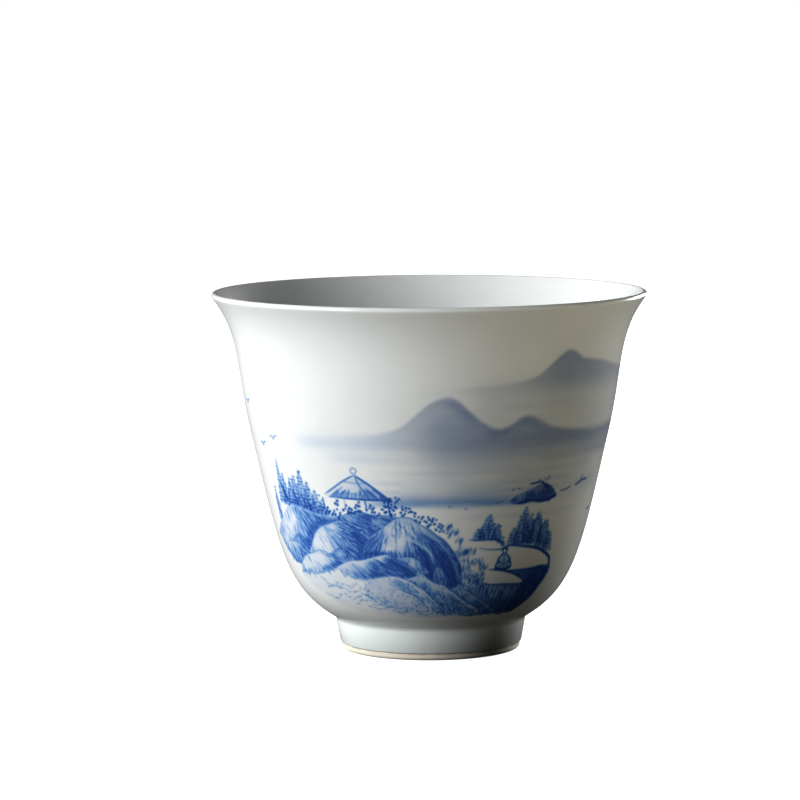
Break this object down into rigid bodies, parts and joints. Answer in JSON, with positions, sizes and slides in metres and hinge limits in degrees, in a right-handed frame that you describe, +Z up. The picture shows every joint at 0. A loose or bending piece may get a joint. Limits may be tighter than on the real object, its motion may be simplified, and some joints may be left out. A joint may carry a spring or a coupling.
{
  "type": "teacup",
  "caption": "Small handleless porcelain teacup with a flared mouth, a rounded belly and a turned foot ring, glazed inside and out over an underglaze blue landscape.",
  "frame": {"origin": "centre of the circle that the foot ring stands on, at table height", "axes": "+Z up along the cup's axis towards the mouth; -Y faces the middle of the painted landscape"},
  "size_m": [0.072, 0.072, 0.0595],
  "materials": {
    "bisque": "matt",
    "foot_bisque": "matt",
    "painted_glaze": "gloss",
    "clear_glaze": "gloss"
  },
  "bodies": {
    "root": {"bowl": "bisque", "foot_ring": "foot_bisque", "outer_glaze": "painted_glaze", "inner_glaze": "clear_glaze", "foot_well_glaze": "clear_glaze"}
  },
  "joints": []
}
